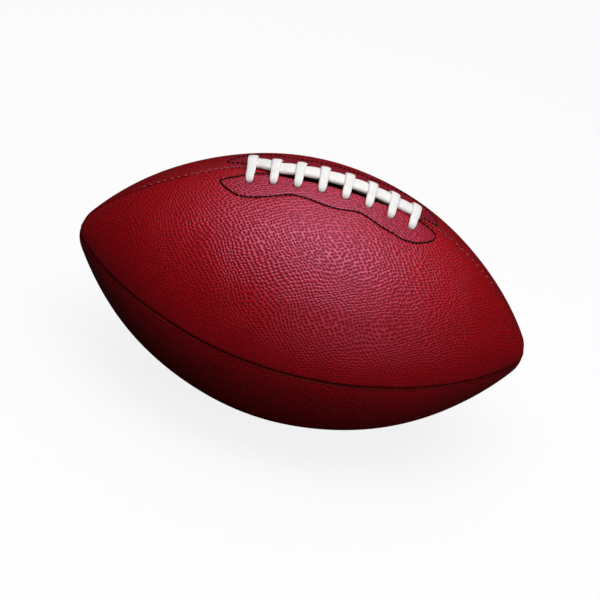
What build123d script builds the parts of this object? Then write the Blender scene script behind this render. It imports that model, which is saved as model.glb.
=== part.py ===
from build123d import *
from math import acos, asin, atan2, cos, degrees, sin, sqrt
import os

# An American football: four leather panels sewn inside out over a lining, laced over an air bladder.
# X runs along the ball, +Z points up through the laces, and the origin is the ball's centre.

# Overall form
ball_length = 288.0
ball_diameter = 166.4
tip_radius = 20.2
pole_gap = 0.8

# Layers of the wall, from the outside in
leather = 2.2
lining = 0.9
facing = 1.0
tongue_thickness = 1.2
bladder_wall = 0.9
layer_gap = 0.15

# Seams: the panel edges turn inwards and lie face to face
seam_allowance = 4.0
allowance_thickness = 1.6
allowance_end_margin = 34.0
groove_width = 2.6
groove_depth = 1.1
thread = 0.8
stitch_pitch = 6.0

# Lacing
lace_bars = 8
lace_pitch = 14.3
lace_middle = 2.0
lace_width = 5.6
lace_thickness = 2.2
lace_edge = 0.6
lace_bend = 2.2
lace_gap = 0.3
strand_width = 10.0
strand_thickness = 2.7
strand_overhang = 0.4
strand_rearward = 0.8
crossing_bite = 0.2
bar_shoulder = 1.5
hole_reach = 12.5
slit_half_length = 48.0
slit_half_width = 3.6
slit_end_margin = 8.0

# Facings behind the lace holes, and the stitching that shows round them
facing_half_length = 67.0
facing_depth = 25.0
facing_hem = 2.5
facing_stitch_width = 1.0
facing_stitch_proud = 0.3
facing_stitch_sink = 0.5
tip_shares = (1.0, 0.44)
outer_lobe_shares = (0.68, 1.0)
dip_shares = (0.30, 0.77)
middle_lobe_share = 0.90
upper_bend_shares = (0.76, 0.27)
upper_run_shares = (0.50, 0.21)

# Tongue between the lace and the bladder
tongue_length = 134.0
tongue_width = 46.0
tongue_corner = 12.0
pocket_margin = 3.0

# Valve, in the rear base panel beside the bottom seam
valve_arc = 17.0
stem_radius = 5.5
stem_recess = 0.3
stem_length = 13.0
valve_flange_radius = 12.0
valve_flange = 1.4
mouth_radius = 2.2
mouth_depth = 2.5
plug_radius = 3.2
plug_length = 9.0
needle_radius = 1.1
plug_gap = 0.05

# One overrun for every cut
overrun = 10.0
quarter_turn = 90
full_turn = 360

# The outline of the ball: one long arc that runs into a round tip at each end
half_length = ball_length / 2
half_diameter = ball_diameter / 2
tip_centre = half_length - tip_radius
main_radius = (tip_centre**2 + half_diameter**2 - tip_radius**2) / (2 * (half_diameter - tip_radius))
main_drop = main_radius - half_diameter
tangent_angle = atan2(tip_centre, main_drop)

# How far below the skin each layer starts
lining_inset = leather + layer_gap
bladder_inset = lining_inset + lining + layer_gap
facing_inset = bladder_inset
lace_inset = facing_inset + facing + lace_gap
tongue_inset = lace_inset + lace_thickness + lace_gap
pocket_inset = tongue_inset + tongue_thickness + layer_gap

# The four seam planes, each with X along the ball and Y out through its seam
along = (1, 0, 0)
centre = (0, 0, 0)
seam_planes = {
    "lace": Plane(origin=centre, x_dir=along, z_dir=(0, -1, 0)),
    "front": Plane(origin=centre, x_dir=along, z_dir=(0, 0, -1)),
    "bottom": Plane(origin=centre, x_dir=along, z_dir=(0, 1, 0)),
    "rear": Plane(origin=centre, x_dir=along, z_dir=(0, 0, 1)),
}
panel_seams = {
    "front_lace": ("lace", "front"),
    "front_base": ("front", "bottom"),
    "rear_base": ("bottom", "rear"),
    "rear_lace": ("rear", "lace"),
}
lace_sides = {"front_lace": -1, "rear_lace": 1}

# The stretches of each seam that are sewn, as angles about the centre of the long arc
sewn_end = asin((half_length - allowance_end_margin) / main_radius)
slit_start = asin((lace_middle - slit_half_length - slit_end_margin) / main_radius)
slit_stop = asin((lace_middle + slit_half_length + slit_end_margin) / main_radius)
whole_seam = [(-sewn_end, sewn_end)]
sewn_stretches = {
    "lace": [(-sewn_end, slit_start), (slit_stop, sewn_end)],
    "front": whole_seam,
    "bottom": whole_seam,
    "rear": whole_seam,
}

# Where the lace bars cross the seam
bar_angles = [(lace_middle + (i - (lace_bars - 1) / 2) * lace_pitch) / main_radius for i in range(lace_bars)]


def main_point(inset, angle):
    """A point of the long arc, moved inwards by inset, as distance along and out from the axis."""
    return ((main_radius - inset) * sin(angle), (main_radius - inset) * cos(angle) - main_drop)


def tip_point(inset, angle):
    """A point of the +X tip's arc, moved inwards by inset."""
    return (tip_centre + (tip_radius - inset) * sin(angle), (tip_radius - inset) * cos(angle))


def draw_meridian(inset, end_radius):
    """Draw the ball's outline at this inset, and give the +X end of it."""
    end_angle = acos(end_radius / (tip_radius - inset))
    tip_angles = (end_angle, (end_angle + tangent_angle) / 2, tangent_angle)
    tip = [tip_point(inset, angle) for angle in tip_angles]
    ThreePointArc(*[(-x, out) for x, out in tip])
    ThreePointArc(*[main_point(inset, angle) for angle in (-tangent_angle, 0, tangent_angle)])
    ThreePointArc(*reversed(tip))
    return tip[0]


def layer_profile(plane, outer_inset, inner_inset):
    """The cross-section of one layer of the wall, from tip to tip."""
    with BuildSketch(plane) as profile:
        with BuildLine():
            outer_end = draw_meridian(outer_inset, pole_gap)
            inner_end = draw_meridian(inner_inset, pole_gap)
            Line(outer_end, inner_end)
            Line((-outer_end[0], pole_gap), (-inner_end[0], pole_gap))
        make_face()
    return profile.sketch


def core_profile(inset):
    """The half section of everything inside this inset."""
    with BuildSketch(seam_planes["lace"]) as profile:
        with BuildLine():
            end = draw_meridian(inset, 0)
            Line((-end[0], 0), end)
        make_face()
    return profile.sketch


def seam_strip(plane, outer_inset, inner_inset, start, stop):
    """A strip of a seam plane between two insets, from one angle to another."""
    angles = (start, (start + stop) / 2, stop)
    with BuildSketch(plane) as strip:
        with BuildLine():
            for inset in (outer_inset, inner_inset):
                ThreePointArc(*[main_point(inset, angle) for angle in angles])
            for angle in (start, stop):
                Line(main_point(outer_inset, angle), main_point(inner_inset, angle))
        make_face()
    return strip.sketch


def seam_groove(plane):
    """The groove between two rolled panel edges, carried along the seam."""
    rise = groove_width / 2 * (1 + leather / groove_depth)
    with BuildPart() as groove:
        with BuildLine(plane) as path:
            draw_meridian(0, groove_width)
        across = plane.z_dir * -1
        with BuildSketch(Plane(origin=path.line @ 0, x_dir=across, z_dir=path.line % 0)):
            with BuildLine():
                Polyline((0, -groove_depth), (rise, leather), (-rise, leather), close=True)
            make_face()
        sweep(path=path.line)
    return groove.part


def seam_stitches(seam):
    """The stitches of one seam, each passing through both allowances."""
    inset = leather + seam_allowance / 2
    with BuildPart() as stitches:
        with BuildSketch(seam_planes[seam]):
            for start, stop in sewn_stretches[seam]:
                count = int((stop - start) * main_radius / stitch_pitch)
                angles = [start + (i + 1 / 2) * (stop - start) / count for i in range(count)]
                places = [Location((*main_point(inset, a), 0), (0, 0, -degrees(a))) for a in angles]
                with Locations(*places):
                    Rectangle(thread, thread)
        extrude(amount=allowance_thickness + thread, both=True)
    return stitches.part


def slit_lens(margin):
    """The opening that the lace closes, cut straight down from above."""
    reach = slit_half_length + margin
    half_width = slit_half_width + margin
    with BuildPart() as lens:
        with BuildSketch(Plane.XY.offset(half_diameter / 2)):
            with BuildLine():
                for side in (1, -1):
                    ThreePointArc(
                        (lace_middle - reach, 0), (lace_middle, side * half_width), (lace_middle + reach, 0)
                    )
            make_face()
        extrude(amount=half_diameter)
    return lens.part


def place_on_skin(angle):
    """The place on the lace seam at this angle of the long arc, with Z out of the skin."""
    along_ball, out = main_point(0, angle)
    return Location((along_ball, 0, out), (0, degrees(angle), 0))


def lace_holes(side):
    """One row of slots for the lace, square to the skin at each bar."""
    with BuildPart() as holes:
        with Locations(*[place_on_skin(angle) for angle in bar_angles]):
            with Locations((0, side * hole_reach, 0)):
                Box(lace_width + 2 * lace_gap, lace_thickness + 2 * lace_gap, 2 * overrun)
    return holes.part


def leaf_point(side, shares):
    """A point of the facing's outline from its shares of the half length and the depth."""
    return (lace_middle + shares[0] * facing_half_length, side * shares[1] * facing_depth)


def mirrored(shares):
    """The same shares at the other end of the lacing."""
    return (-shares[0], shares[1])


def draw_leaf_edge(side):
    """Draw the facing's lobed lower edge, from its -X tip to its +X tip."""
    lobe = (tip_shares, outer_lobe_shares, dip_shares)
    outer = [leaf_point(side, shares) for shares in lobe]
    inner = [leaf_point(side, mirrored(shares)) for shares in lobe]
    ThreePointArc(*inner)
    ThreePointArc(inner[2], leaf_point(side, (0, middle_lobe_share)), outer[2])
    ThreePointArc(*reversed(outer))
    return inner[0], outer[0]


def stitch_band(side, outer_inset, inner_inset, width):
    """The line of stitching round a facing, cut from a layer of the skin."""
    bends = (upper_bend_shares, upper_run_shares)
    with BuildPart() as band:
        revolve(
            layer_profile(seam_planes["lace"], outer_inset, inner_inset),
            axis=Axis.X if side < 0 else Axis.X.reverse(),
            revolution_arc=quarter_turn,
        )
        with BuildSketch(Plane.XY):
            with BuildLine():
                first_tip, last_tip = draw_leaf_edge(side)
                first_run = [leaf_point(side, mirrored(shares)) for shares in bends]
                last_run = [leaf_point(side, shares) for shares in bends]
                ThreePointArc(first_tip, *first_run)
                Line(first_run[1], last_run[1])
                ThreePointArc(last_tip, *last_run)
            trace(line_width=width)
        extrude(amount=ball_diameter, mode=Mode.INTERSECT)
    return band.part


def bladder_form(depth):
    """The inflated bladder's form at a depth inside its own skin, with room for seams and lacing."""
    with BuildPart() as form:
        revolve(core_profile(bladder_inset + depth), axis=Axis.X, revolution_arc=full_turn)
        for seam, plane in seam_planes.items():
            for start, stop in sewn_stretches[seam]:
                end_room = (layer_gap + depth) / main_radius
                floor = leather + seam_allowance + layer_gap + depth
                extrude(
                    seam_strip(plane, -overrun, floor, start - end_room, stop + end_room),
                    amount=allowance_thickness + thread + layer_gap + depth,
                    both=True,
                    mode=Mode.SUBTRACT,
                )
        add(lacing_pocket(depth), mode=Mode.SUBTRACT)
    return form.part


def lacing_pocket(depth):
    """The hollow that the lace, the facings and the tongue press into the bladder."""
    room = pocket_margin + depth
    with BuildPart() as pocket:
        with BuildSketch(Plane.XY):
            with Locations((lace_middle, 0)):
                Rectangle(2 * (facing_half_length + room), 2 * (facing_depth + facing_hem + room))
        extrude(amount=ball_diameter)
        revolve(
            core_profile(pocket_inset + depth), axis=Axis.X, revolution_arc=full_turn, mode=Mode.SUBTRACT
        )
    return pocket.part


# The valve's own plane: on the skin, with Z out of the ball
valve_angle = valve_arc / half_diameter
valve_out = (0, sin(valve_angle), -cos(valve_angle))
valve_plane = Plane(
    origin=(0, half_diameter * sin(valve_angle), -half_diameter * cos(valve_angle)),
    x_dir=along,
    z_dir=valve_out,
)


def valve_bore(radius):
    """A round hole through the wall where the valve stands."""
    with BuildPart() as bore:
        with BuildSketch(valve_plane.offset(overrun)):
            Circle(radius)
        extrude(amount=-overrun - stem_length)
    return bore.part


os.makedirs("parts", exist_ok=True)

# Leather panels, with their turned-in seam allowances
for name, seams in panel_seams.items():
    with BuildPart() as panel:
        revolve(layer_profile(seam_planes[seams[0]], 0, leather), axis=Axis.X, revolution_arc=quarter_turn)
        for seam, turn in zip(seams, (1, -1)):
            plane = seam_planes[seam]
            for start, stop in sewn_stretches[seam]:
                extrude(
                    seam_strip(plane, leather / 2, leather + seam_allowance, start, stop),
                    amount=turn * allowance_thickness,
                )
            add(seam_stitches(seam), mode=Mode.SUBTRACT)
            add(seam_groove(plane), mode=Mode.SUBTRACT)
        if name in lace_sides:
            side = lace_sides[name]
            stitch_room = facing_stitch_width + 2 * layer_gap
            add(slit_lens(0), mode=Mode.SUBTRACT)
            add(lace_holes(side), mode=Mode.SUBTRACT)
            add(stitch_band(side, -leather, facing_stitch_sink, stitch_room), mode=Mode.SUBTRACT)
        if name == "rear_base":
            add(valve_bore(stem_radius + layer_gap), mode=Mode.SUBTRACT)
    panel.part.label = f"{name}_panel"
    export_step(panel.part, f"parts/{name}_panel.step")

# Cloth linings, one behind each panel and between its seam allowances
for name, seams in panel_seams.items():
    clear = allowance_thickness + thread + layer_gap
    with BuildPart() as panel_lining:
        revolve(
            layer_profile(seam_planes[seams[0]], lining_inset, lining_inset + lining),
            axis=Axis.X,
            revolution_arc=quarter_turn,
        )
        split(bisect_by=seam_planes[seams[0]].offset(clear), keep=Keep.TOP)
        split(bisect_by=seam_planes[seams[1]].offset(-clear), keep=Keep.BOTTOM)
        if name in lace_sides:
            add(slit_lens(layer_gap), mode=Mode.SUBTRACT)
            add(lace_holes(lace_sides[name]), mode=Mode.SUBTRACT)
        if name == "rear_base":
            add(valve_bore(stem_radius + layer_gap), mode=Mode.SUBTRACT)
    panel_lining.part.label = f"{name}_lining"
    export_step(panel_lining.part, f"parts/{name}_lining.step")

# Facings that stiffen the two rows of lace holes
for name, side in lace_sides.items():
    with BuildPart() as lace_facing:
        revolve(
            layer_profile(seam_planes["lace"], facing_inset, facing_inset + facing),
            axis=Axis.X if side < 0 else Axis.X.reverse(),
            revolution_arc=quarter_turn,
        )
        with BuildSketch(Plane.XY):
            with BuildLine():
                first_tip, last_tip = draw_leaf_edge(side)
                edge = side * (allowance_thickness + thread + layer_gap)
                Polyline(first_tip, (first_tip[0], edge), (last_tip[0], edge), last_tip)
            make_face()
            offset(amount=facing_hem, kind=Kind.ARC)
        extrude(amount=ball_diameter, mode=Mode.INTERSECT)
        split(bisect_by=Plane.XZ.offset(-edge), keep=Keep.TOP if side < 0 else Keep.BOTTOM)
        add(slit_lens(layer_gap), mode=Mode.SUBTRACT)
        add(lace_holes(side), mode=Mode.SUBTRACT)
    lace_facing.part.label = f"{name}_facing"
    export_step(lace_facing.part, f"parts/{name}_facing.step")

# Black stitching that holds each facing, let into the leather
for name, side in lace_sides.items():
    with BuildPart() as facing_stitching:
        add(stitch_band(side, -facing_stitch_proud, facing_stitch_sink, facing_stitch_width))
    facing_stitching.part.label = f"{name}_facing_stitching"
    export_step(facing_stitching.part, f"parts/{name}_facing_stitching.step")

# The lace: eight bars over the seam, a strand lengthwise under them and a little to the rear,
# and seven runs inside
bar_top = lace_gap + strand_thickness - crossing_bite + lace_thickness / 2
crown_front = strand_rearward - strand_width / 2
crown_rear = strand_rearward + strand_width / 2
hole_skin = sqrt(half_diameter**2 - hole_reach**2) - half_diameter
run_inset = lace_inset + lace_thickness / 2
bar_foot = sqrt((half_diameter - run_inset) ** 2 - hole_reach**2) - half_diameter
with BuildPart() as lace_bar:
    with BuildLine(Plane.YZ) as bar_route:
        FilletPolyline(
            (-hole_reach, bar_foot),
            (-hole_reach, hole_skin + bar_shoulder),
            (crown_front, bar_top),
            (crown_rear, bar_top),
            (hole_reach, hole_skin + bar_shoulder),
            (hole_reach, bar_foot),
            radius=lace_bend,
        )
    with BuildSketch(Plane(origin=bar_route.line @ 0, x_dir=along, z_dir=bar_route.line % 0)) as bar_section:
        Rectangle(lace_width, lace_thickness)
        chamfer(bar_section.vertices(), length=lace_edge)
    sweep(path=bar_route.line)

strand_lift = lace_gap + strand_thickness / 2
strand_reach = (lace_width / 2 + strand_overhang) / main_radius
with BuildPart() as lace:
    with BuildLine(Plane.XZ) as strand_route:
        strand_angles = (
            bar_angles[0] - strand_reach,
            lace_middle / main_radius,
            bar_angles[-1] + strand_reach,
        )
        ThreePointArc(*[main_point(-strand_lift, angle) for angle in strand_angles])
    with BuildSketch(
        Plane(origin=strand_route.line @ 0, x_dir=(0, 1, 0), z_dir=strand_route.line % 0)
    ) as strand_section:
        with Locations((strand_rearward, 0)):
            Rectangle(strand_width, strand_thickness)
        chamfer(strand_section.vertices(), length=lace_edge)
    sweep(path=strand_route.line)
    with Locations(*[place_on_skin(angle) for angle in bar_angles]):
        add(lace_bar.part)
    for this_angle, next_angle in zip(bar_angles, bar_angles[1:]):
        start = (place_on_skin(this_angle) * Location((0, hole_reach, bar_foot))).position
        middle = (place_on_skin((this_angle + next_angle) / 2) * Location((0, 0, -run_inset))).position
        stop = (place_on_skin(next_angle) * Location((0, -hole_reach, bar_foot))).position
        with BuildLine() as run_route:
            ThreePointArc(start, middle, stop)
        flat = (stop - start).cross(middle - start)
        with BuildSketch(Plane(origin=start, x_dir=flat, z_dir=run_route.line % 0)) as run_section:
            Rectangle(lace_width, lace_thickness)
            chamfer(run_section.vertices(), length=lace_edge)
        sweep(path=run_route.line)
lace.part.label = "lace"
export_step(lace.part, "parts/lace.step")

# The tongue that keeps the lace off the bladder
with BuildPart() as lace_tongue:
    revolve(
        layer_profile(seam_planes["rear"], tongue_inset, tongue_inset + tongue_thickness),
        axis=Axis.X,
        revolution_arc=2 * quarter_turn,
    )
    with BuildSketch(Plane.XY):
        with Locations((lace_middle, 0)):
            RectangleRounded(tongue_length, tongue_width, tongue_corner)
    extrude(amount=ball_diameter, mode=Mode.INTERSECT)
lace_tongue.part.label = "lace_tongue"
export_step(lace_tongue.part, "parts/lace_tongue.step")

# The bladder, a thin rubber skin pressed round the seams and the lacing
with BuildPart() as bladder:
    add(bladder_form(0))
    add(bladder_form(bladder_wall), mode=Mode.SUBTRACT)
    add(valve_bore(stem_radius + layer_gap), mode=Mode.SUBTRACT)
bladder.part.label = "bladder"
export_step(bladder.part, "parts/bladder.step")

# The valve housing, with its flange on the inside of the bladder
flange_inset = bladder_inset + bladder_wall + layer_gap
with BuildPart() as valve_housing:
    revolve(
        layer_profile(seam_planes["bottom"], flange_inset, flange_inset + valve_flange),
        axis=Axis.X,
        revolution_arc=quarter_turn,
    )
    with BuildSketch(valve_plane.offset(-stem_length)):
        Circle(valve_flange_radius)
    extrude(amount=stem_length, mode=Mode.INTERSECT)
    with BuildSketch(valve_plane.offset(-stem_length)):
        Circle(stem_radius)
    extrude(amount=stem_length - stem_recess)
    with BuildSketch(valve_plane):
        Circle(mouth_radius)
    extrude(amount=-stem_length, mode=Mode.SUBTRACT)
    with BuildSketch(valve_plane.offset(-mouth_depth)):
        Circle(plug_radius + plug_gap)
    extrude(amount=-plug_length - plug_gap, mode=Mode.SUBTRACT)
valve_housing.part.label = "valve_housing"
export_step(valve_housing.part, "parts/valve_housing.step")

# The valve plug, which closes round the needle
with BuildPart() as valve_plug:
    with BuildSketch(valve_plane.offset(-mouth_depth - plug_gap)):
        Circle(plug_radius)
        Circle(needle_radius, mode=Mode.SUBTRACT)
    extrude(amount=-plug_length)
valve_plug.part.label = "valve_plug"
export_step(valve_plug.part, "parts/valve_plug.step")

# Seam threads: a row of stitches through the two allowances of each seam
for seam in seam_planes:
    with BuildPart() as seam_thread:
        add(seam_stitches(seam))
    seam_thread.part.label = f"{seam}_seam_thread"
    export_step(seam_thread.part, f"parts/{seam}_seam_thread.step")
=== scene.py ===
"""Looks of a laced leather ball. Its panels, lacing, stitching and tongue are surfaces worked out with
numpy, and every piece has a procedural finish."""

import math

import bpy
import numpy as np
from mathutils import Matrix, Vector


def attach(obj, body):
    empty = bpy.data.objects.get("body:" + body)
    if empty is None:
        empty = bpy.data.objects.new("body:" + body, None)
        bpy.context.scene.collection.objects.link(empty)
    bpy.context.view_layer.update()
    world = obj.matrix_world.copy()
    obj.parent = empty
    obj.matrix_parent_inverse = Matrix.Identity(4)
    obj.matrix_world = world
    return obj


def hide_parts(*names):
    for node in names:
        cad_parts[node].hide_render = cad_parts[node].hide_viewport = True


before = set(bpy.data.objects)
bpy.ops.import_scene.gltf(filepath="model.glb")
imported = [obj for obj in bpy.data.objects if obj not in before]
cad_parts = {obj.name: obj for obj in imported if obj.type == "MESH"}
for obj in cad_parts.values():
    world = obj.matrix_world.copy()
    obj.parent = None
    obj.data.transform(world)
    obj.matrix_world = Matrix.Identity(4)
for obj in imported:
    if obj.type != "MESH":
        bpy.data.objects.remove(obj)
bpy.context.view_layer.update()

# Ball, leather and tongue, in metres
mm = 0.001
ball_length = 288.0 * mm
ball_diameter = 166.4 * mm
tip_radius = 20.2 * mm
pole_gap = 0.6 * mm
leather = 2.2 * mm
tongue_inset = 7.2 * mm
tongue_thickness = 1.2 * mm
tongue_half_length = 67.0 * mm
tongue_half_width = 23.0 * mm
tongue_squareness = 4.0
tongue_end_bluntness = 6
tongue_end_share = 0.998

# Seams: rolled edges, the dip beside them, the puckers at the stitches and the stitches themselves
edge_gap = 0.05 * mm
edge_roll = 1.8 * mm
edge_roll_share = 0.3
seam_dip = 0.25 * mm
seam_dip_reach = 5.0 * mm
pucker_pitch = 4.5 * mm
lace_pucker = 0.22 * mm
plain_pucker = 0.04 * mm
pucker_reach = 2.0 * mm
lace_seam_fill = 0.55
lace_seam_shade = 1.6 * mm
plain_seam_shade = 2.2 * mm
seam_stitch_length = 1.6 * mm
seam_stitch_share = seam_stitch_length / pucker_pitch
seam_stitch_radius = 0.55 * mm
lace_seam_sink = 0.5 * mm
plain_seam_sink = 1.9 * mm
seam_stitch_end = 134.0 * mm
lace_stitch_start = 55.0 * mm
lace_stitch_end = 122.0 * mm
stitch_bluntness = 0.85
stitch_flatness = 0.8

# How far each seam drifts: millimetres along the ball, and onward round it
lace_seam_drift = [(-180, 0), (-134, 1.3), (-105, 2.2), (-94, 2.0), (-86, 1.2), (-76, -0.7), (-67, -2.0),
                   (-56, -2.4), (-45, -0.8), (-35, 0.6), (0, -0.3), (35, -1.3), (55, -3.2), (75, -5.5),
                   (92, -5.0), (110, -4.0), (140, -2.0), (180, 0)]
front_seam_drift = [(-180, 0), (-110, 0.1), (-80, 0.3), (-50, 1.2), (-20, 1.7), (0, 1.9), (20, 1.6),
                    (45, 1.2), (60, 0.6), (90, 0.8), (120, 0.4), (180, 0)]
straight_seam = [(-180, 0), (0, 0), (180, 0)]
seam_drifts = [lace_seam_drift, front_seam_drift, straight_seam, straight_seam]

# Unevenness of the skin: slow ripples, and a shallow flat towards both ends of the rear lace panel
ripple_height = 0.25 * mm
ripple_length = 23.0 * mm
ripple_slant = 41.0 * mm
ripple_turns = 3
ripple_shift = 1.3
rear_flat = 1.3 * mm
rear_flat_arc = 95.0 * mm
rear_flat_length = 38.0 * mm
rear_flat_quarter = 3.4
rear_flat_width = 0.33

# Lacing: bars over one lengthwise strand, above a slit in the seam
lace_bars = 8
lace_pitch = 14.55 * mm
lace_middle = 2.0 * mm
lace_width = 5.6 * mm
lace_thickness = 2.2 * mm
lace_gap = 0.3 * mm
lace_leg = 5.0 * mm
lacing_offset = 0.3 * mm
lacing_slope = 0.03
bar_squareness = 3.0
bar_arch_squareness = 5.0
bar_rise_reach = 6.1 * mm
bar_press = 0.1 * mm
bar_dive_depth = 3.4 * mm
bar_pinch = 0.2
bar_taper = 0.13
bar_lean = 0.05
bar_lean_spread = 0.012
bar_lean_step = 2.4
bar_lean_start = 0.6
bar_leans = bar_lean + bar_lean_spread * np.sin(np.arange(lace_bars) * bar_lean_step + bar_lean_start)
bar_shifts = np.array([-1.6, -1.0, -0.6, -0.3, -0.3, -0.3, 0.0, -0.6]) * mm
strand_width = 10.0 * mm
strand_thickness = 2.7 * mm
strand_squareness = 3.2
strand_overhang = 0.4 * mm
strand_rearward = 0.8 * mm
strand_start_turn = 5.6 * mm
strand_start_bend = (-30.0 * mm, -50.0 * mm)
strand_end_turn = 1.2 * mm
strand_end_bend = (36.0 * mm, 54.0 * mm)
strand_end_round = 1.4 * mm
strand_end_blunt = 0.02
strand_end_width = 0.75
strand_press = 0.12 * mm
strand_press_thickness = 0.05
strand_press_width = 0.035
slit_half_length = 42.0 * mm
slit_bluntness = 5
slit_front = 5.6 * mm
slit_rear = 3.0 * mm
swell_height = 1.5 * mm
swell_half_length = 70.0 * mm
swell_half_width = 27.0 * mm
swell_softness = 1.5
hole_reach = 12.3 * mm
hole_half_length = 2.0 * mm
hole_half_width = 1.7 * mm
hole_depth = 2.0 * mm
hole_wall = (1.2, 0.8)
hole_dent = 0.5 * mm
hole_dent_reach = 2.0

# Leaf-shaped stitch line of each facing: millimetres along the lacing and across from it
leaf_lower_points = [(-67.3, 10.4), (-63.2, 15.8), (-57.1, 20.8), (-53.0, 23.3), (-48.7, 24.6),
                     (-42.8, 24.9), (-33.3, 23.3), (-27.6, 21.7), (-21.8, 20.4), (-12.4, 21.1),
                     (-5.5, 22.4), (2.0, 23.4), (8.8, 23.0), (15.3, 21.3), (21.1, 20.6), (27.5, 21.9),
                     (34.6, 23.7), (42.1, 24.5), (48.5, 25.0), (53.6, 23.8), (57.9, 22.0), (63.0, 18.0),
                     (67.5, 13.1), (69.4, 9.0), (69.8, 6.5)]
leaf_right_points = [(69.8, 6.5), (68.6, 4.4), (66.6, 3.3), (62.5, 2.6), (57.6, 2.3), (46.0, 2.2)]
leaf_left_points = [(-67.3, 10.4), (-65.4, 9.5), (-62.8, 8.3), (-57.2, 7.2), (-52.6, 5.9), (-46.7, 4.6),
                    (-38.3, 4.5), (-34.0, 4.3)]
leaf_search_length = 75.0 * mm
leaf_search_width = 30.0 * mm
leaf_fade = 1.5 * mm
leaf_rear_shift = 2.0 * mm
leaf_groove = 0.25 * mm
leaf_groove_reach = 0.8 * mm
leaf_stitch_pitch = 2.9 * mm
leaf_stitch_radius = 0.5 * mm
front_leaf_share = 0.99
front_leaf_sink = 0.2 * mm
rear_leaf_share = 0.62
rear_leaf_sink = 0.35 * mm

# Valve hole in the rear base panel
valve_turn = math.radians(191.7)
valve_radius = 5.6 * mm
valve_depth = 2.0 * mm
valve_wall = (1.1, 0.95)

# Leather tones: each panel's own, how much darker the tips are, and the shares of patches, seams and pits
# The rear lace panel's lower tone is painted shade
panel_tones_and_shade = [1.0, 0.95, 0.95, 0.75]
tip_shade = 0.18
tip_shade_reach = (70.0 * mm, 150.0 * mm)
patch_share = 0.15
seam_shade_share = 0.75
pit_dullness = 0.8

# Pressed grain: pits to a metre along and across, how their rows turn, scatter and bend, and its relief
grain_pits = (415.0, 565.0, 1.0)
grain_turn = 0.6
grain_scatter = 0.42
grain_bend = 0.016
grain_bend_scale = 26.0
grain_depth = 0.25 * mm
grain_tooth = 0.12

# Where the grain is stretched flatter: how far from a plain seam, how much there, and how much in the leaf
stretch_reach = 45.0 * mm
lace_stretch = 0.55
base_stretch = 0.25
leaf_stretch = 0.05

# Mesh counts
panel_rows = 430
panel_columns = 150
panel_crowding = 0.78
panel_back_columns = 24
bar_rows = 60
bar_columns = 28
strand_rows = 240
strand_columns = 25
tongue_rows = 90
tongue_columns = 40
stitch_rows = 6
stitch_columns = 7
curve_steps = 40
seam_points = 600
leaf_lower_count = 400
leaf_upper_count = 200

# The side line of the ball: one wide arc and two small tip arcs
half_length = ball_length / 2
half_diameter = ball_diameter / 2
tip_centre = half_length - tip_radius
main_radius = (tip_centre**2 + half_diameter**2 - tip_radius**2) / (2 * (half_diameter - tip_radius))
main_drop = main_radius - half_diameter
tangent_angle = math.atan2(tip_centre, main_drop)
main_arc = main_radius * tangent_angle
skin_arc = main_arc + tip_radius * (math.pi / 2 - tangent_angle)
quarter_turn = math.pi / 2


def meridian(arc):
    """The side line by arc length from the middle: a wide arc that runs tangent into a small one at each
    tip. Gives the place along the ball, the distance from its axis and the slope of the outward normal."""
    run = np.abs(arc)
    on_tip = run > main_arc
    slope = np.where(on_tip, tangent_angle + (run - main_arc) / tip_radius, run / main_radius)
    bend = np.where(on_tip, tip_radius, main_radius)
    along = np.where(on_tip, tip_centre, 0.0) + bend * np.sin(slope)
    around = np.where(on_tip, 0.0, -main_drop) + bend * np.cos(slope)
    return np.sign(arc) * along, around, np.sign(arc) * slope


def on_skin(arc, turn, lift):
    """A point by its arc along the ball, its turn about the long axis from the top to the front, and its
    lift along the outward normal."""
    along, around, slope = meridian(arc)
    reach = around + lift * np.cos(slope)
    x = along + lift * np.sin(slope) + 0 * turn
    return np.stack([x, -reach * np.sin(turn), reach * np.cos(turn)], axis=-1)


def lacing_slant(arc):
    """How far the middle of the lacing lies to the front of the top line: a slow slant, times a parabola
    that fades it out at the tips."""
    return -(lacing_offset + lacing_slope * arc) * (1 - (arc / skin_arc)**2)


def swell(arc, across):
    """The low oval rise of the skin round the lacing: a power of an elliptic dome, highest on the seam."""
    share = 1 - ((arc - lace_middle) / swell_half_length)**2 - (across / swell_half_width)**2
    return swell_height * np.clip(share, 0, 1)**swell_softness


def on_lacing(arc, across, lift):
    """A point by its arc, its distance to the front of the lacing, and its lift off the swollen skin."""
    around = meridian(arc)[1]
    turn = (across + lacing_slant(arc)) / around
    return on_skin(arc, turn, lift + swell(arc, across))


def slit_opening(arc):
    """The opening of the slit under the lacing as a share of its width: 1 less a high power of the
    distance from its middle, which makes a blunt lens."""
    return np.clip(1 - np.abs((arc - lace_middle) / slit_half_length)**slit_bluntness, 0, 1)


def bell(distance, reach):
    """1 at no distance, falling off as a bell curve of that reach."""
    return np.exp(-(distance / reach)**2)


def smooth_step(low, high, value):
    """0 up to low, 1 from high on, and an S-curve between. Low may be the larger of the two."""
    share = np.clip((value - low) / (high - low), 0, 1)
    return share * share * (3 - 2 * share)


def signed_power(value, power):
    """A power of the value's size, with the value's sign."""
    return np.sign(value) * np.abs(value)**power


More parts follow.
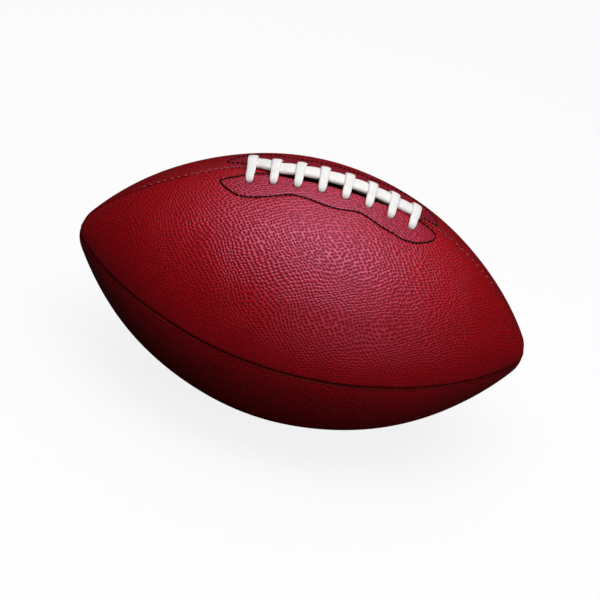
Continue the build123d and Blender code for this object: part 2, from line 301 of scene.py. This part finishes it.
def smooth_line(points, count):
    """A Catmull-Rom line through points in millimetres, resampled to count points at equal steps of
    length. Gives the line and its length in metres."""
    points = np.array(points, float) * mm
    padded = np.vstack([2 * points[0] - points[1], points, 2 * points[-1] - points[-2]])
    share = np.linspace(0, 1, curve_steps, endpoint=False)[None, :, None]
    a, b, c, d = (padded[i:len(padded) - 3 + i, None, :] for i in range(4))
    line = 0.5 * (2 * b + (c - a) * share + (2 * a - 5 * b + 4 * c - d) * share**2
                  + (3 * b - a - 3 * c + d) * share**3)
    line = np.vstack([line.reshape(-1, 2), points[-1]])
    length = np.concatenate([[0], np.cumsum(np.linalg.norm(np.diff(line, axis=0), axis=1))])
    steps = np.linspace(0, length[-1], count)
    return np.stack([np.interp(steps, length, line[:, i]) for i in range(2)], axis=-1), length[-1]


def seam_line(quarter, arc):
    """How far a seam drifts onward from its quarter of the ball, read from the smooth line of its table."""
    line = smooth_line(seam_drifts[quarter], seam_points)[0]
    return np.interp(arc, line[:, 0], line[:, 1])


def strand_line(arc):
    """How far the middle of the strand lies to the front of the lacing: a little to the rear, and further
    by an S-curve towards each end."""
    start = smooth_step(*strand_start_bend, arc)
    end = smooth_step(*strand_end_bend, arc)
    return -strand_rearward - strand_start_turn * start - strand_end_turn * end


# Runs of the leaf line with their lengths, and the places of the bars
leaf_runs = [smooth_line(leaf_lower_points, leaf_lower_count),
             smooth_line(leaf_right_points, leaf_upper_count),
             smooth_line(leaf_left_points, leaf_upper_count)]
leaf_lower, leaf_right, leaf_left = (line for line, length in leaf_runs)
leaf_points = np.vstack([leaf_lower, leaf_right, leaf_left])
leaf_upper = np.vstack([leaf_left, leaf_right[::-1]])
bar_arcs = lace_middle + (np.arange(lace_bars) - (lace_bars - 1) / 2) * lace_pitch


def leaf_marks(arc, across):
    """Each point's distance to the leaf stitching, and whether it lies inside the leaf, from 0 to 1."""
    distance = np.full(arc.shape, 1.0)
    near = (np.abs(arc) < leaf_search_length) & (across > 0) & (across < leaf_search_width)
    spots = np.stack([arc[near], across[near]], axis=-1)
    distance[near] = np.sqrt(((spots[:, None, :] - leaf_points[None, :, :])**2).sum(-1).min(1))
    lower = np.interp(arc, leaf_lower[:, 0], leaf_lower[:, 1], 0, 0)
    upper = np.interp(arc, leaf_upper[:, 0], leaf_upper[:, 1])
    inside = smooth_step(0, leaf_fade, lower - across) * smooth_step(0, leaf_fade, across - upper)
    return distance, inside


def hole_pits(arc, across, side):
    """The depth of the holes where the bars go through the skin: at each, a steep oval pit with an S-curve
    wall, in a soft dent with the fall of a bell."""
    depth = np.zeros(across.shape)
    for bar, shift in zip(bar_arcs, bar_shifts):
        along_share = (arc - bar) / hole_half_length
        across_share = (across - shift - side * hole_reach) / hole_half_width
        reach = np.hypot(along_share, across_share)
        depth += hole_depth * smooth_step(*hole_wall, reach) + hole_dent * bell(reach, hole_dent_reach)
    return depth


def tube_piece(name, rings, marks=None):
    """A mesh of one or more closed tubes. Rings is an array of tubes, rings, points of a ring and
    coordinates. Neighbouring rings are joined by quads, and each end is closed by a fan to its middle."""
    tubes, rows, columns = rings.shape[:3]
    middles = rings[:, [0, -1]].mean(2)
    index = np.arange(tubes * rows * columns).reshape(tubes, rows, columns)
    onward = np.roll(index, -1, axis=2)
    quads = np.stack([index[:, :-1], onward[:, :-1], onward[:, 1:], index[:, 1:]], axis=-1).reshape(-1, 4)
    tip = (index.size + np.arange(tubes * 2)).reshape(tubes, 2, 1) + 0 * index[:, [0, -1]]
    first_fans = np.stack([onward[:, 0], index[:, 0], tip[:, 0]], axis=-1).reshape(-1, 3)
    last_fans = np.stack([index[:, -1], onward[:, -1], tip[:, 1]], axis=-1).reshape(-1, 3)
    points = np.vstack([rings.reshape(-1, 3), middles.reshape(-1, 3)])

    # Faces are turned round where the volume that they enclose is negative
    corners = points[quads]
    volume = np.einsum("ij,ij->", corners[:, 0], np.cross(corners[:, 1], corners[:, 2]))
    volume += np.einsum("ij,ij->", corners[:, 0], np.cross(corners[:, 2], corners[:, 3]))
    turned = -1 if volume < 0 else 1
    faces = []
    for group in (quads, first_fans, last_fans):
        faces += group[:, ::turned].tolist()
    mesh = bpy.data.meshes.new(name)
    mesh.from_pydata(points.tolist(), [], faces)
    mesh.polygons.foreach_set("use_smooth", np.ones(len(mesh.polygons), bool))

    # Marks are values or vectors for each point, which the finish reads
    for mark, values in (marks or {}).items():
        width = values.shape[-1]
        ends = values[:, [0, -1]].mean(2)
        values = np.vstack([values.reshape(-1, width), ends.reshape(-1, width)]).astype(np.float32)
        kind, field = ("FLOAT_VECTOR", "vector") if width == 3 else ("FLOAT", "value")
        mesh.attributes.new(mark, kind, "POINT").data.foreach_set(field, values.ravel())
    mesh.update()
    piece = bpy.data.objects.new(name, mesh)
    bpy.context.scene.collection.objects.link(piece)
    return piece


def panel_piece(name, quarter, tone):
    """One leather panel: a quarter of the skin from seam to seam, its edges rolled down, and its flat back.
    Its height off the ball is a sum of the edge roll, the dip and puckers at the seams, slow ripples, and
    on the lace panels the swell, the leaf groove and the holes."""
    arc = np.linspace(pole_gap - skin_arc, skin_arc - pole_gap, panel_rows)[:, None]
    around = meridian(arc)[1]
    laced_start = quarter == 0
    laced_end = quarter == 3
    laced_panel = laced_start or laced_end
    slit = slit_opening(arc)
    start_inset = edge_gap + laced_start * slit_front * slit + seam_line(quarter, arc)
    end_inset = edge_gap + laced_end * slit_rear * slit - seam_line((quarter + 1) % 4, arc)
    start = quarter * quarter_turn + start_inset / around
    end = (quarter + 1) * quarter_turn - end_inset / around

    # Columns crowd towards both seams
    step = np.linspace(0, 1, panel_columns)[None, :]
    turn = start + (end - start) * (step - panel_crowding * np.sin(2 * math.pi * step) / (2 * math.pi))
    start_edge = (turn - start) * around
    end_edge = (end - turn) * around
    edge = np.minimum(start_edge, end_edge)

    # Rolled edges, which the lace seam's stitching fills beyond the slit
    roll = np.minimum(edge_roll, edge_roll_share * (end - start) * around)
    inset = np.clip(roll - edge, 0, roll)
    laced = np.where(start_edge < end_edge, laced_start, laced_end)
    fill = lace_seam_fill * (laced * (1 - slit))
    lift = (np.sqrt(roll**2 - inset**2) - roll) * (1 - fill)

    # Dip and puckers at the seams, and slow ripples
    dip = laced_start * bell(start_edge, seam_dip_reach) + laced_end * bell(end_edge, seam_dip_reach)
    lift -= seam_dip * dip * (roll / edge_roll)
    start_pucker = lace_pucker if laced_start else plain_pucker
    end_pucker = lace_pucker if laced_end else plain_pucker
    pucker = start_pucker * bell(start_edge, pucker_reach) + end_pucker * bell(end_edge, pucker_reach)
    lift -= pucker * (0.5 + 0.5 * np.cos(2 * math.pi * arc / pucker_pitch))
    ripple = np.sin(arc / ripple_length + ripple_shift * quarter)
    lift += ripple_height * ripple * np.cos(ripple_turns * turn + arc / ripple_slant)

    # What the lacing adds on its two panels
    leaf_inside = np.zeros(turn.shape)
    hole_shade = np.zeros(turn.shape)
    if laced_panel:
        side = 1 if laced_start else -1
        across = (turn - laced_end * 2 * math.pi) * around - lacing_slant(arc)
        distance, leaf_inside = leaf_marks(arc + 0 * turn, side * across - leaf_rear_shift * laced_end)
        pits = hole_pits(arc, across, side)
        lift += swell(arc, across) - leaf_groove * bell(distance, leaf_groove_reach) - pits
        hole_shade = np.clip(pits / hole_depth, 0, 1)
    if laced_end:
        flat_across = bell(turn / quarter_turn - rear_flat_quarter, rear_flat_width)
        lift -= rear_flat * bell(np.abs(arc) - rear_flat_arc, rear_flat_length) * flat_across

    # The hole round the valve
    valve_reach = np.hypot(arc, (turn - valve_turn) * around) / valve_radius
    lift -= valve_depth * smooth_step(*valve_wall, valve_reach)

    # The back of the panel, from the far seam to the near one
    back_step = np.linspace(1, 0, panel_back_columns)[None, :]
    back_turn = start + (end - start) * back_step
    back_rise = swell(arc, (back_turn - laced_end * 2 * math.pi) * around) * laced_panel
    turns = np.hstack([turn, back_turn])
    lifts = np.hstack([lift, back_rise - leather - seam_dip])
    rings = on_skin(arc, turns, lifts)[None]

    # Flat pattern coordinates for the grain, and marks for the finish
    middle = (quarter + 0.5) * quarter_turn
    grain = np.stack([arc + 0 * turns, (turns - middle) * around, 0 * turns + quarter], axis=-1)[None]
    seam_shade = np.where(laced, lace_seam_shade, plain_seam_shade)
    seam = bell(edge, seam_shade) * (1 - fill)
    stretch_most = lace_stretch if laced_panel else base_stretch
    stretch = stretch_most * smooth_step(stretch_reach, 0, edge) * (1 - laced)
    # Tone: the panel's own, which on the rear lace panel is painted shade, darkened towards the tips by
    # painted shade
    tones = tone * (1 - tip_shade * smooth_step(*tip_shade_reach, np.abs(arc))) + 0 * turns
    back = np.zeros(back_turn.shape)
    marks = {"seam": np.hstack([seam, back + 1]), "leaf": np.hstack([leaf_inside, back]),
             "hole": np.hstack([hole_shade, back]), "tone": tones, "stretch": np.hstack([stretch, back])}
    marks = {mark: values[None, ..., None] for mark, values in marks.items()}
    return tube_piece(name, rings, {"grain": grain, **marks})


def band_section(width, thickness, count, squareness):
    """The outline of a flat band: a superellipse, rounder for a lower squareness."""
    angle = np.linspace(0, 2 * math.pi, count, endpoint=False)
    wide = width / 2 * signed_power(np.cos(angle), 2 / squareness)
    thick = thickness / 2 * signed_power(np.sin(angle), 2 / squareness)
    return wide, thick


def tape_section(width, thickness, count, squareness):
    """The outline of a tape that lies on a flat base: half a superellipse closed by a straight line."""
    angle = np.linspace(0, math.pi, count)
    wide = width / 2 * signed_power(np.cos(angle), 2 / squareness)
    high = thickness * np.sin(angle)**(2 / squareness) - thickness / 2
    base = np.linspace(-1, 1, count // 2)[1:-1]
    return np.concatenate([wide, width / 2 * base]), np.concatenate([high, 0 * base - thickness / 2])


def unit_heading(path):
    """The direction of a path at each of its points."""
    heading = np.gradient(path, axis=0)
    return heading / np.linalg.norm(heading, axis=1, keepdims=True)


def lace_bar_rings(arc, shift, lean):
    """One bar of the lace: a flat band carried along an arch that comes out of one hole, lies on the skin,
    rises over the strand and goes down the other hole. The arch is a flat-topped superellipse plus a flat
    bell over the strand. Gives the rings, and how deep each dives into its hole, from 0 to 1."""
    angle = np.linspace(0, math.pi, bar_rows)
    across = hole_reach * signed_power(np.cos(angle), 2 / bar_arch_squareness)
    rest = lace_gap + lace_thickness / 2
    height = (rest + lace_leg) * np.sin(angle)**(2 / bar_arch_squareness) - lace_leg
    off_strand = (across + shift - strand_line(arc)) / bar_rise_reach
    height += (strand_thickness - bar_press) * np.exp(-off_strand**4)
    heading = unit_heading(np.stack([across, height], axis=-1))
    wide, thick = band_section(lace_width, lace_thickness, bar_columns, bar_squareness)
    dive = np.clip((rest - height) / bar_dive_depth, 0, 1)
    pinch = bar_pinch + (1 - bar_pinch) * np.sqrt(1 - dive**2)
    taper = 1 - bar_taper * across / hole_reach
    wide = wide[None, :] * (pinch * taper)[:, None]
    arcs = arc + wide + (lean * (across - hole_reach))[:, None]
    places = shift + across[:, None] - heading[:, 1:] * thick[None, :]
    lifts = height[:, None] + heading[:, :1] * thick[None, :]
    return on_lacing(arcs, places, lifts), dive[:, None] + 0 * wide


def strand_rings():
    """The lengthwise strand: a wide tape carried along the seam under the bars, rounded at its two ends. A
    cosine of the bars' pitch presses it flatter and narrower under each."""
    reach = lace_width / 2 + strand_overhang
    arc = np.linspace(bar_arcs[0] - reach, bar_arcs[-1] + reach, strand_rows)[:, None]
    wide, thick = tape_section(strand_width, strand_thickness, strand_columns, strand_squareness)
    pressed = np.cos(2 * math.pi * (arc - bar_arcs[0]) / lace_pitch)
    end = np.minimum(arc - arc[0], arc[-1] - arc)
    rounding = np.sqrt(1 - (1 - np.clip(end / strand_end_round, strand_end_blunt, 1))**2)
    lift = lace_gap + strand_thickness / 2 + strand_press * (1 - pressed)
    lift = lift + thick * (1 - strand_press_thickness * pressed) * rounding
    end_width = strand_end_width + (1 - strand_end_width) * rounding
    across = strand_line(arc) + wide * (1 - strand_press_width * pressed) * end_width
    return on_lacing(arc, across, lift)


def stitch_rings(line, place, pitch, share, radius, sink):
    """Short stitches along a line: each is a small flattened tube that arches between its two holes and
    fills that share of the pitch. Place turns a distance along the line, one beside it and a lift into a
    point."""
    count = int(line / pitch)
    starts = (np.arange(count) + 0.5 * (1 - share)) * line / count
    step = np.linspace(0, 1, stitch_rows)
    fullness = np.sqrt(np.clip(1 - (2 * stitch_bluntness * step - stitch_bluntness)**2, 0, 1))
    angle = np.linspace(0, 2 * math.pi, stitch_columns, endpoint=False)[None, None, :]
    along = (starts[:, None] + step[None, :] * share * line / count)[..., None]
    arch = (radius * fullness - sink)[None, :, None]
    girth = radius * fullness[None, :, None]
    beside = girth * np.cos(angle) + 0 * along
    lift = arch + stitch_flatness * girth * np.sin(angle) + 0 * along
    return place(along + 0 * beside, beside, lift)


def leaf_place(line, length, side):
    """Places stitches on one run of the leaf line, on the front panel (side 1) or the rear one (side -1):
    along the line by length, and beside it square to its heading."""
    steps = np.linspace(0, length, len(line))
    heading = unit_heading(line)

    def place(along, beside, lift):
        arc = np.interp(along, steps, line[:, 0]) - beside * np.interp(along, steps, heading[:, 1])
        across = np.interp(along, steps, line[:, 1]) + beside * np.interp(along, steps, heading[:, 0])
        return on_lacing(arc, side * across - leaf_rear_shift * (side < 0), lift)

    return place


def seam_place(quarter, first):
    """Places stitches in one seam, from an arc along the ball onwards: each goes round the ball by the
    seam's drift, and up by the swell on the lace seam."""

    def place(along, beside, lift):
        arc = first + along
        around = meridian(arc)[1]
        drift = seam_line(quarter, arc)
        rise = swell(arc, beside) * (quarter == 0)
        return on_skin(arc, quarter * quarter_turn + (beside + drift) / around, lift + rise)

    return place


def tongue_rings():
    """The tongue under the slit: a thin strip carried along the seam inside the ball, with the ends of a
    superellipse."""
    arc = lace_middle + np.linspace(-tongue_half_length, tongue_half_length, tongue_rows)[:, None]
    share = np.clip((arc - lace_middle) / tongue_half_length, -tongue_end_share, tongue_end_share)
    half = tongue_half_width * (1 - np.abs(share)**tongue_end_bluntness)**0.5
    wide, thick = band_section(2.0, tongue_thickness, tongue_columns, tongue_squareness)
    return on_lacing(arc, wide * half, thick - tongue_inset - tongue_thickness / 2)


class Shade:
    """A socket of a material's nodes. Sums on it add Math nodes, and node() adds any other node."""

    def __init__(self, tree, socket=None):
        self.tree = tree
        self.socket = socket

    def node(self, kind, settings=None, sockets=None, output=0):
        """A new node of that kind: its settings are set first, then its sockets get values or links."""
        made = self.tree.nodes.new(kind)
        for name, value in (settings or {}).items():
            setattr(made, name, value)
        for name, value in (sockets or {}).items():
            if isinstance(value, Shade):
                self.tree.links.new(value.socket, made.inputs[name])
            else:
                made.inputs[name].default_value = value
        return Shade(self.tree, made.outputs[output] if made.outputs else None)

    def sum_node(self, operation, first, second):
        """Two values in one sum, by a Math node."""
        return self.node("ShaderNodeMath", {"operation": operation}, {0: first, 1: second})

    def __add__(self, other):
        return self.sum_node("ADD", self, other)

    def __sub__(self, other):
        return self.sum_node("SUBTRACT", self, other)

    def __rsub__(self, other):
        return self.sum_node("SUBTRACT", other, self)

    def __mul__(self, other):
        return self.sum_node("MULTIPLY", self, other)

    __radd__ = __add__
    __rmul__ = __mul__

    def vector_sum(self, operation, other):
        """This vector with another, by a Vector Math node."""
        return self.node("ShaderNodeVectorMath", {"operation": operation}, {0: self, 1: other})

    def ramp(self, low, high, start=0.0, end=1.0):
        """Start below low, end above high, and an S-curve between."""
        return self.node("ShaderNodeMapRange", {"interpolation_type": "SMOOTHSTEP"},
                         {"Value": self, "From Min": low, "From Max": high, "To Min": start, "To Max": end})

    def mix(self, first, second):
        """A colour between two, by this value."""
        return self.node("ShaderNodeMix", {"data_type": "RGBA"}, {0: self, 6: first, 7: second}, 2)

    def bump(self, distance, strength):
        """A bump of that depth from this height."""
        return self.node("ShaderNodeBump", None,
                         {"Height": self, "Distance": distance, "Strength": strength})

    def mark(self, name, output="Fac"):
        """A mark that the piece carries at its points."""
        return self.node("ShaderNodeAttribute", {"attribute_name": name}, None, output)

    def object_place(self):
        """The place on the object."""
        return self.node("ShaderNodeTexCoord", None, None, "Object")

    def noise(self, scale, detail, output="Fac"):
        """Cloudy noise at this place."""
        return self.node("ShaderNodeTexNoise", None,
                         {"Vector": self, "Scale": scale, "Detail": detail}, output)

    def principled(self, sockets):
        """A Principled shader with those sockets."""
        return self.node("ShaderNodeBsdfPrincipled", None, sockets)

    def close(self, surface):
        """Puts a shader on the material's output."""
        self.node("ShaderNodeOutputMaterial", None, {"Surface": surface})


def new_finish(name):
    """A new material with no nodes yet, and a Shade to build them with."""
    material = bpy.data.materials.new(name)
    material.use_nodes = True
    material.node_tree.nodes.clear()
    return material, Shade(material.node_tree)


def pebbled_leather(name, raised, pressed, sunk, mottle_and_seam_shade, hole_shadow):
    """Tanned hide with a pressed grain: a raised net round dull dark pits in wavy rows, smoother inside the
    leaf and towards the plain seams, with a painted pink sheen inside the leaf, painted shade in the seams
    and holes, and toned by the panel, with painted shade at the tips and on the rear lace panel."""
    material, shade = new_finish(name)
    grain = shade.mark("grain", "Vector")
    mark_names = ("seam", "leaf", "hole", "tone", "stretch")
    seam, leaf, hole, tone, stretch = (shade.mark(mark) for mark in mark_names)

    # Pits about 2 mm apart on rows that a slow noise bends
    slow = grain.noise(grain_bend_scale, 1.0, "Color").vector_sum("SUBTRACT", (0.5, 0.5, 0.5))
    wavy = grain.vector_sum("ADD", slow.vector_sum("MULTIPLY", (grain_bend, grain_bend, 0.0)))
    cells = shade.node("ShaderNodeMapping", None, {"Vector": wavy, "Scale": grain_pits,
                                                   "Rotation": (0.0, 0.0, grain_turn)})
    centre = shade.node("ShaderNodeTexVoronoi", {"voronoi_dimensions": "2D"},
                        {"Vector": cells, "Scale": 1.0, "Randomness": grain_scatter}, "Distance")
    fine = grain.noise(2600.0, 2.0)
    patchy = grain.noise(55.0, 3.0)
    pit = centre.ramp(0.05, 0.62, 1.0, 0.0) * (1 - leaf_stretch * leaf) * (1 - stretch)

    # Colour: slow patches, a painted pink sheen inside the leaf, and painted shade in the seams and holes
    net = (leaf * (0.6 + 0.4 * fine)).mix(raised, pressed)
    net = (patchy.ramp(0.35, 0.75) * patch_share).mix(net, mottle_and_seam_shade)
    # Painted shade in the seam grooves, where the edges roll down
    net = (seam.ramp(0.35, 1.0) * seam_shade_share).mix(net, mottle_and_seam_shade)
    # Painted shade in the holes where the bars go through the skin
    net = hole.ramp(0.35, 1.0).mix(net, hole_shadow)

    # A glossy net and dull pits, with one relief
    relief = (grain_tooth * fine - pit).bump(grain_depth, 1.0)
    # The tone mark darkens the colour by painted shade at the tips and on the rear lace panel
    crown = shade.principled({"Base Color": tone.mix(black, net), "Roughness": 0.26 + 0.08 * fine,
                              "Specular IOR Level": 0.95, "Specular Tint": (1.0, 0.55, 1.0, 1.0),
                              "Normal": relief})
    dull = shade.principled({"Base Color": tone.mix(black, sunk), "Roughness": 0.7,
                             "Specular IOR Level": 0.15, "Normal": relief})
    matt = 1 - (1 - pit_dullness * pit) * (1 - seam.ramp(0.2, 0.9))
    shade.close(shade.node("ShaderNodeMixShader", None, {0: matt, 1: crown, 2: dull}))
    return material


def lace_vinyl(name, pale, shaded, dive_shade):
    """Coated lace: white, with a fine pressed grain, a little grey in the grain, and painted shade where it
    dives into a hole."""
    material, shade = new_finish(name)
    place = shade.object_place()
    edge = shade.node("ShaderNodeTexVoronoi", {"feature": "DISTANCE_TO_EDGE"},
                      {"Vector": place, "Scale": 1100.0, "Randomness": 0.8}, "Distance")
    smudge = place.noise(160.0, 3.0)
    pit = edge.ramp(0.0, 0.14, 1.0, 0.0)
    colour = (0.35 * pit + 0.25 * smudge.ramp(0.45, 0.8)).mix(pale, shaded)
    # Painted shade where the bar dives into its hole
    colour = shade.mark("dive").ramp(0.5, 1.0).mix(colour, dive_shade)
    relief = edge.ramp(0.0, 0.25).bump(0.05 * mm, 0.6)
    shade.close(shade.principled({"Base Color": colour, "Roughness": 0.50 + 0.15 * pit, "Normal": relief}))
    return material


def twisted_thread(name, light, dark):
    """Waxed thread: slanting plies three quarters of a millimetre apart, with a painted highlight on their
    crowns.
    """
    material, shade = new_finish(name)
    place = shade.object_place()
    plies = shade.node("ShaderNodeTexWave", {"bands_direction": "DIAGONAL"},
                       {"Vector": place, "Scale": 480.0, "Distortion": 1.5, "Detail": 1.0}, "Fac")
    shade.close(shade.principled({"Base Color": plies.mix(dark, light), "Roughness": 0.55 + 0.2 * plies,
                                  "Specular IOR Level": 0.06, "Normal": plies.bump(0.08 * mm, 0.7)}))
    return material


def moulded_rubber(name, colour, worn):
    """Matt rubber with a cloudy bloom and a fine moulded tooth."""
    material, shade = new_finish(name)
    place = shade.object_place()
    cloud = place.noise(90.0, 4.0)
    tooth = place.noise(2400.0, 2.0)
    shade.close(shade.principled({"Base Color": cloud.ramp(0.35, 0.75).mix(colour, worn),
                                  "Roughness": 0.55 + 0.25 * cloud, "Normal": tooth.bump(0.04 * mm, 0.5)}))
    return material


def woven_cloth(name, colour, gap):
    """Plain-woven lining cloth: two crossing sets of yarns a millimetre apart."""
    material, shade = new_finish(name)
    yarns = {"Vector": shade.object_place(), "Scale": 320.0, "Distortion": 0.6}
    warp, weft = (shade.node("ShaderNodeTexWave", {"bands_direction": axis}, yarns, "Fac")
                  for axis in ("X", "Y"))
    weave = warp * 0.5 + weft * 0.5
    shade.close(shade.principled({"Base Color": weave.ramp(0.15, 0.6).mix(gap, colour),
                                  "Roughness": 0.85 - 0.1 * weave, "Normal": weave.bump(0.1 * mm, 0.8)}))
    return material


def studio_floor(name, camera_glow, bounce):
    """A pale floor that the camera sees as near white, with the object's shadow kept."""
    material, shade = new_finish(name)
    camera_ray = shade.node("ShaderNodeLightPath", None, None, "Is Camera Ray")
    glow = shade.node("ShaderNodeEmission", None, {"Color": white, "Strength": camera_ray * camera_glow})
    seen = 1.0 - camera_glow
    grey = camera_ray.mix((bounce, bounce, bounce, 1.0), (seen, seen, seen, 1.0))
    matt = shade.node("ShaderNodeBsdfDiffuse", None, {"Color": grey})
    shade.close(shade.node("ShaderNodeAddShader", None, {0: glow, 1: matt}))
    return material


def give_finish(piece, finish):
    """Gives a piece one finish all over."""
    piece.data.materials.clear()
    piece.data.materials.append(finish)


def dress(piece, finish, node):
    """Gives a new piece its finish, rides it on the ball, and lets it stand for a solid."""
    give_finish(piece, finish)
    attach(piece, "root")
    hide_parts(node)


# Finishes
black = (0.0, 0.0, 0.0, 1.0)
white = (1.0, 1.0, 1.0, 1.0)
# Leather colours: the pinker one inside the leaf is a painted sheen, the dark one of the slow patches also
# paints shade in the seams, and the near-black one paints shade in the holes
panel_leather = pebbled_leather("panel_leather", raised=(0.46, 0.0040, 0.0085, 1.0),
                                pressed=(0.43, 0.018, 0.042, 1.0), sunk=(0.15, 0.0008, 0.0015, 1.0),
                                mottle_and_seam_shade=(0.12, 0.002, 0.004, 1.0), hole_shadow=(0.012, 0.002, 0.002, 1.0))
# The darkest lace colour is painted shade where the bars dive into their holes
lace_white = lace_vinyl("lace_white", pale=(0.90, 0.89, 0.87, 1.0), shaded=(0.68, 0.66, 0.64, 1.0),
                        dive_shade=(0.22, 0.21, 0.20, 1.0))
black_thread = twisted_thread("black_thread", light=(0.010, 0.008, 0.008, 1.0),
                              dark=(0.003, 0.0025, 0.0025, 1.0))
# The seam thread's pale pink-red is its colour and partly a painted highlight on the puckered leather at
# each stitch
seam_thread = twisted_thread("seam_thread", light=(0.52, 0.085, 0.08, 1.0), dark=(0.28, 0.04, 0.04, 1.0))
tongue_black = moulded_rubber("tongue_black", colour=(0.030, 0.010, 0.012, 1.0),
                              worn=(0.060, 0.024, 0.026, 1.0))
valve_rubber = moulded_rubber("valve_rubber", colour=(0.016, 0.015, 0.015, 1.0),
                              worn=(0.035, 0.032, 0.031, 1.0))
plug_rubber = moulded_rubber("plug_rubber", colour=(0.045, 0.020, 0.016, 1.0),
                             worn=(0.075, 0.040, 0.034, 1.0))
bladder_rubber = moulded_rubber("bladder_rubber", colour=(0.10, 0.085, 0.07, 1.0),
                                worn=(0.16, 0.14, 0.12, 1.0))
lining_cloth = woven_cloth("lining_cloth", colour=(0.52, 0.47, 0.38, 1.0), gap=(0.22, 0.19, 0.15, 1.0))
facing_leather = moulded_rubber("facing_leather", colour=(0.030, 0.010, 0.009, 1.0),
                                worn=(0.055, 0.020, 0.017, 1.0))

# Panels
panel_names = ["front_lace", "front_base", "rear_base", "rear_lace"]
for quarter, panel_name in enumerate(panel_names):
    skin = panel_piece(panel_name + "_skin", quarter, panel_tones_and_shade[quarter])
    dress(skin, panel_leather, panel_name + "_panel")

# Lace: the bars and the strand stand for one solid
bars = [lace_bar_rings(arc, shift, lean) for arc, shift, lean in zip(bar_arcs, bar_shifts, bar_leans)]
bar_dives = np.stack([dive for rings, dive in bars])[..., None]
bar_piece = tube_piece("lace_bars", np.stack([rings for rings, dive in bars]), {"dive": bar_dives})
dress(bar_piece, lace_white, "lace")
strand_piece = tube_piece("lace_strand", strand_rings()[None])
dress(strand_piece, lace_white, "lace")
tongue = tube_piece("tongue", tongue_rings()[None])
dress(tongue, tongue_black, "lace_tongue")

# Leaf stitching on both lace panels
leaf_stitching = [("front_lace", 1, front_leaf_share, front_leaf_sink),
                  ("rear_lace", -1, rear_leaf_share, rear_leaf_sink)]
for panel_name, side, share, sink in leaf_stitching:
    runs = [stitch_rings(length, leaf_place(line, length, side), leaf_stitch_pitch, share,
                         leaf_stitch_radius, sink) for line, length in leaf_runs]
    stitching = tube_piece(panel_name + "_leaf_stitches", np.concatenate(runs))
    dress(stitching, black_thread, panel_name + "_facing_stitching")

# Seam stitching: the lace seam has a run beyond each end of the lacing, and each other seam has one run
for quarter, seam_name in enumerate(["lace", "front", "bottom", "rear"]):
    firsts = [-lace_stitch_end, lace_stitch_start] if quarter == 0 else [-seam_stitch_end]
    length = lace_stitch_end - lace_stitch_start if quarter == 0 else 2 * seam_stitch_end
    sink = lace_seam_sink if quarter == 0 else plain_seam_sink
    runs = [stitch_rings(length, seam_place(quarter, first), pucker_pitch, seam_stitch_share,
                         seam_stitch_radius, sink) for first in firsts]
    stitching = tube_piece(seam_name + "_seam_stitches", np.concatenate(runs))
    dress(stitching, seam_thread, seam_name + "_seam_thread")

# Solids that keep their own shape
kept_solids = {panel_name + "_lining": lining_cloth for panel_name in panel_names}
kept_solids["front_lace_facing"] = facing_leather
kept_solids["rear_lace_facing"] = facing_leather
kept_solids["bladder"] = bladder_rubber
kept_solids["valve_housing"] = valve_rubber
kept_solids["valve_plug"] = plug_rubber
for node, finish in kept_solids.items():
    give_finish(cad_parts[node], finish)

# Floor, just under the ball
floor_half = 6.0
floor_gap = 0.2 * mm
floor_level = -half_diameter - floor_gap
floor_corners = [(-floor_half, -floor_half, floor_level), (floor_half, -floor_half, floor_level),
                 (floor_half, floor_half, floor_level), (-floor_half, floor_half, floor_level)]
floor_mesh = bpy.data.meshes.new("floor")
floor_mesh.from_pydata(floor_corners, [], [(0, 1, 2, 3)])
floor = bpy.data.objects.new("floor", floor_mesh)
give_finish(floor, studio_floor("studio_floor", camera_glow=0.86, bounce=0.02))
bpy.context.scene.collection.objects.link(floor)

# World: near white to the camera, a low even fill for everything else
world_fill = 0.006
world_glow = 0.854
world = bpy.data.worlds.new("studio")
world.use_nodes = True
world.node_tree.nodes.clear()
sky = Shade(world.node_tree)
camera_ray = sky.node("ShaderNodeLightPath", None, None, "Is Camera Ray")
strength = world_fill + world_glow * camera_ray
fill = sky.node("ShaderNodeBackground", None, {"Color": white, "Strength": strength})
sky.node("ShaderNodeOutputWorld", None, {"Surface": fill})
bpy.context.scene.world = world


def soft_lamp(name, place, aim, length, depth, power):
    """An oblong soft lamp at a place, turned to its aim."""
    light = bpy.data.lights.new(name, "AREA")
    light.shape = "RECTANGLE"
    light.size = length
    light.size_y = depth
    light.energy = power
    lamp = bpy.data.objects.new(name, light)
    lamp.location = place
    lamp.rotation_euler = (Vector(aim) - Vector(place)).to_track_quat("-Z", "Y").to_euler()
    bpy.context.scene.collection.objects.link(lamp)


# Lamps: a key above the front, a wide overhead lamp behind it, and a weak large fill from the front right
soft_lamp("key", place=(0.04, -0.32, 1.12), aim=(0.04, 0.0, 0.0), length=1.30, depth=0.60, power=9.9)
soft_lamp("overhead", place=(0.02, 0.55, 1.20), aim=(0.02, 0.45, 0.0), length=1.60, depth=1.80, power=9.8)
soft_lamp("front_fill", place=(0.55, -1.0, 0.52), aim=(0.0, 0.0, 0.0), length=1.5, depth=1.0, power=2.9)

# Camera at the photograph's viewing angle, rolled as the picture is
camera_distance = 1052.05 * mm
camera_elevation = math.radians(35.675)
camera_roll = math.radians(16.173)
camera_slide = Vector((-1.08 * mm, -5.47 * mm, 0.0))
back = Vector((0.0, -math.cos(camera_elevation), math.sin(camera_elevation)))
right = Vector((1.0, 0.0, 0.0))
up = back.cross(right)
rolled_right = math.cos(camera_roll) * right + math.sin(camera_roll) * up
rolled_up = math.cos(camera_roll) * up - math.sin(camera_roll) * right
camera_turn = Matrix((rolled_right, rolled_up, back)).transposed()
camera_place = back * camera_distance + camera_turn @ camera_slide
camera_data = bpy.data.cameras.new("camera")
camera_data.lens = 100.79
camera_data.sensor_width = 36.0
camera = bpy.data.objects.new("camera", camera_data)
camera.matrix_world = Matrix.Translation(camera_place) @ camera_turn.to_4x4()
bpy.context.scene.collection.objects.link(camera)
bpy.context.scene.camera = camera
bpy.context.scene.view_settings.view_transform = "Standard"
